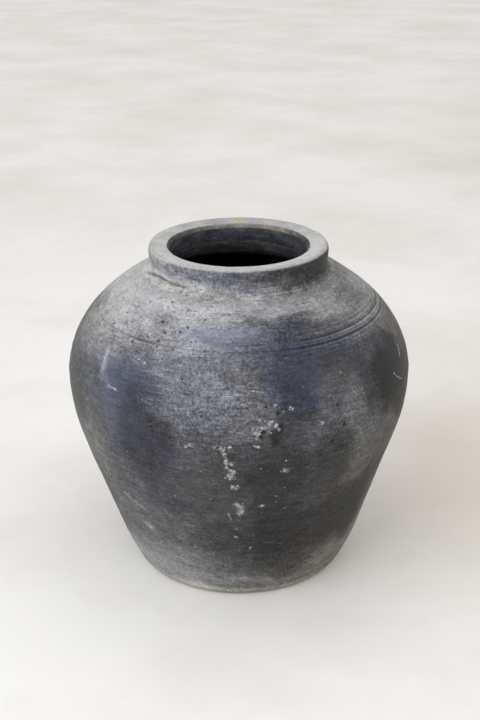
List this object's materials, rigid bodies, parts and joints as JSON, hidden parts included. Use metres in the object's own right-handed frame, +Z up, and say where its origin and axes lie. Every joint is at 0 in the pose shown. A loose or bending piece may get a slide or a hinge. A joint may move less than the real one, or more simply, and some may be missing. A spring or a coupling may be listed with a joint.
{
  "type": "clay pot",
  "caption": "Round-shouldered matte black clay storage pot with a flat foot, a short thick collar and a flat rim; holds dry goods, water or a display of branches.",
  "frame": {"origin": "centre of the underside of the foot, on the surface the pot stands on", "axes": "+Z up along the pot's turning axis; -Y faces the front view"},
  "size_m": [0.2996, 0.2996, 0.293],
  "materials": {
    "foot_clay": "matte, unglazed, smoke blackened with worn brown edge",
    "body_clay": "matte, unglazed, smoke blackened with pale bloom",
    "shoulder_clay": "matte, unglazed, pale dusty bloom over black",
    "rim_clay": "matte, unglazed, rubbed pale"
  },
  "bodies": {
    "root": {"base_slab": "foot_clay", "lower_wall": "body_clay", "belly_wall": "body_clay", "shoulder_wall": "shoulder_clay", "neck_collar": "rim_clay"}
  },
  "joints": []
}
